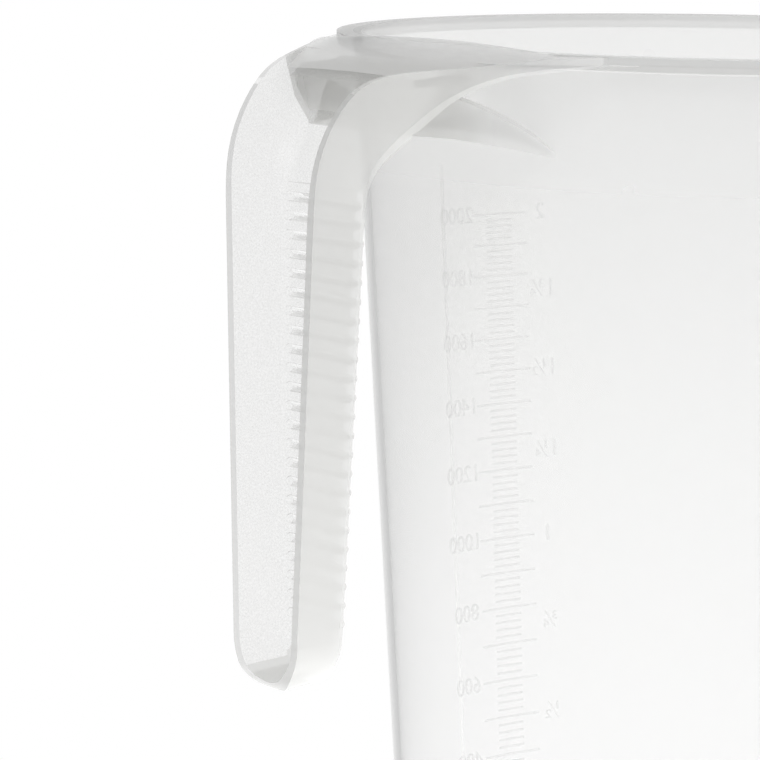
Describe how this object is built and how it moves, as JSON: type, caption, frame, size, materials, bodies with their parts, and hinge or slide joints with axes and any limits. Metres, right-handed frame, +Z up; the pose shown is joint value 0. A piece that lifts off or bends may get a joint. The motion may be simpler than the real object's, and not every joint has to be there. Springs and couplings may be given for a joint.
{
  "type": "measuring jug",
  "caption": "Empty translucent plastic measuring jug with a flanged rim, a V pouring lip and an open-backed ribbed handle hung from the rim.",
  "frame": {"origin": "centre of the flat foot, on the axis of the round body, at the level the jug stands on", "axes": "+Z up along the body's axis, +X towards the pouring lip, -X towards the handle, Y across the jug"},
  "size_m": [0.203, 0.156, 0.1942],
  "materials": {
    "body": "translucent natural polypropylene, fine satin"
  },
  "bodies": {
    "root": {"jug": "body"}
  },
  "joints": []
}
